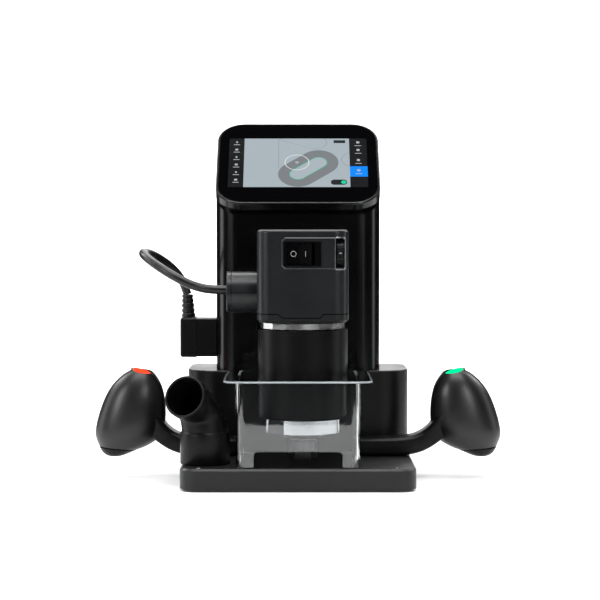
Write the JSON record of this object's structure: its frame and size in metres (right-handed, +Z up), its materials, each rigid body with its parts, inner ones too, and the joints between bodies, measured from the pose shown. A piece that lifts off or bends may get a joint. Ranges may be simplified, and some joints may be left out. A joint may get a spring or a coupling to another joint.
{
  "type": "cnc router",
  "caption": "Hand-held computer-guided router with a tilting display tower, two side grips, a sliding spindle, clear chip shield and dust spout.",
  "frame": {"origin": "middle of the sole on the surface that the tool stands on", "axes": "+Z up, +X to the user's right across the grips, +Y away from the user towards the camera side"},
  "size_m": [0.346, 0.198, 0.3054],
  "materials": {
    "satin_black": "fine satin moulding",
    "gloss_black": "high gloss",
    "grip_rubber": "soft-touch",
    "glide_pad": "low-friction sole",
    "lead_rubber": "smooth jacket",
    "anodised": "machined and anodised",
    "satin_metal": "satin black coat on aluminium",
    "steel": "ground steel",
    "polished": "polished",
    "zinc_can": "plated sheet",
    "circuit_board": "solder mask",
    "display": "lit panel",
    "display_glass": "cover glass",
    "lens_glass": "coated lens",
    "clear_plastic": "clear polycarbonate",
    "green_cap": "satin cap",
    "red_cap": "satin cap"
  },
  "bodies": {
    "frame": {"base_plate": "satin_black", "base_sole": "glide_pad", "base_pins": "steel", "base_screws": "steel", "handle_arm_right": "satin_black", "handle_arm_left": "satin_black", "grip_right": "grip_rubber", "grip_left": "grip_rubber", "button_bezels": "satin_black", "rear_housing": "satin_black", "tower_shell": "gloss_black", "display_bezel": "gloss_black", "display_glass": "display_glass", "display_panel": "display", "camera_housing": "satin_black", "camera_lens": "lens_glass", "mains_inlet": "satin_black", "main_board": "circuit_board", "power_supply": "zinc_can", "power_tray": "satin_black", "x_rails": "steel", "x_rail_supports": "anodised", "x_motor": "zinc_can", "x_screw_bearing": "anodised", "spindle_lead": "lead_rubber", "lead_boot": "lead_rubber", "lead_plug": "satin_black", "spindle_socket": "satin_black", "dust_port": "satin_black"},
    "x_screw": {"x_lead_screw": "steel"},
    "cross_slide": {"cross_slide": "anodised", "y_rails": "steel", "y_motor": "zinc_can"},
    "y_screw": {"y_lead_screw": "steel"},
    "saddle": {"saddle": "anodised", "plunge_columns": "steel", "column_bridge": "anodised", "plunge_motor": "zinc_can"},
    "z_screw": {"plunge_screw": "steel"},
    "carriage": {"spindle_arm": "anodised", "motor_sleeve": "satin_metal", "upper_ring": "polished", "lower_ring": "polished", "spindle_nose": "satin_metal", "spindle_bearings": "steel", "motor_stator": "zinc_can", "motor_housing": "satin_black", "switch_frame": "gloss_black", "dial_axle": "satin_black", "outlet_halves": "satin_black", "outlet_flange": "satin_black"},
    "spindle": {"spindle_shaft": "steel", "collet": "steel", "collet_nut": "steel"},
    "rocker": {"power_rocker": "gloss_black"},
    "dial": {"speed_dial": "satin_black"},
    "start_button": {"button_right": "green_cap"},
    "stop_button": {"button_left": "red_cap"},
    "shield": {"clear_shield": "clear_plastic"}
  },
  "joints": [
    {"name": "gantry_x", "type": "slide", "parent": "frame", "child": "cross_slide", "axis": [1, 0, 0], "range_m": [-0.0139, 0.0061], "deforming": ["spindle_lead"]},
    {"name": "gantry_y", "type": "slide", "parent": "cross_slide", "child": "saddle", "axis": [0, 1, 0], "range_m": [-0.01, 0.01]},
    {"name": "plunge", "type": "slide", "parent": "saddle", "child": "carriage", "axis": [0, 0, 1], "range_m": [-0.043, 0]},
    {"name": "spindle_spin", "type": "hinge", "parent": "carriage", "child": "spindle", "pos_m": [0.0039, -0.039, 0.1], "axis": [0, 0, 1], "continuous": true},
    {"name": "x_screw_spin", "type": "hinge", "parent": "frame", "child": "x_screw", "pos_m": [0, 0.048, 0.03], "axis": [1, 0, 0], "range_deg": [-2600, 1200]},
    {"name": "y_screw_spin", "type": "hinge", "parent": "cross_slide", "child": "y_screw", "pos_m": [0.0039, 0.048, 0.046], "axis": [0, 1, 0], "range_deg": [-1850, 1850]},
    {"name": "z_screw_spin", "type": "hinge", "parent": "saddle", "child": "z_screw", "pos_m": [0.0039, 0.048, 0.1], "axis": [0, 0, 1], "range_deg": [-3950, 60]},
    {"name": "power_rocker", "type": "hinge", "parent": "carriage", "child": "rocker", "pos_m": [0.00235, -0.0665, 0.1916], "axis": [0, 0, 1], "range_deg": [0, 14]},
    {"name": "speed_dial", "type": "hinge", "parent": "carriage", "child": "dial", "pos_m": [0.0344, -0.0669, 0.192], "axis": [1, 0, 0], "range_deg": [0, 270]},
    {"name": "start_press", "type": "slide", "parent": "frame", "child": "start_button", "axis": [0.2924, 0.1331, -0.947], "range_m": [0, 0.0015], "stiffness_N_per_m": 300},
    {"name": "stop_press", "type": "slide", "parent": "frame", "child": "stop_button", "axis": [-0.2924, 0.1331, -0.947], "range_m": [0, 0.0015], "stiffness_N_per_m": 300},
    {"name": "shield_pull", "type": "slide", "parent": "frame", "child": "shield", "axis": [0, -1, 0], "range_m": [0, 0.12]}
  ],
  "couplings": [
    {"joint": "x_screw_spin", "follows": "gantry_x", "rad_per_m": 1570.8},
    {"joint": "y_screw_spin", "follows": "gantry_y", "rad_per_m": 1570.8},
    {"joint": "z_screw_spin", "follows": "plunge", "rad_per_m": 1570.8}
  ]
}
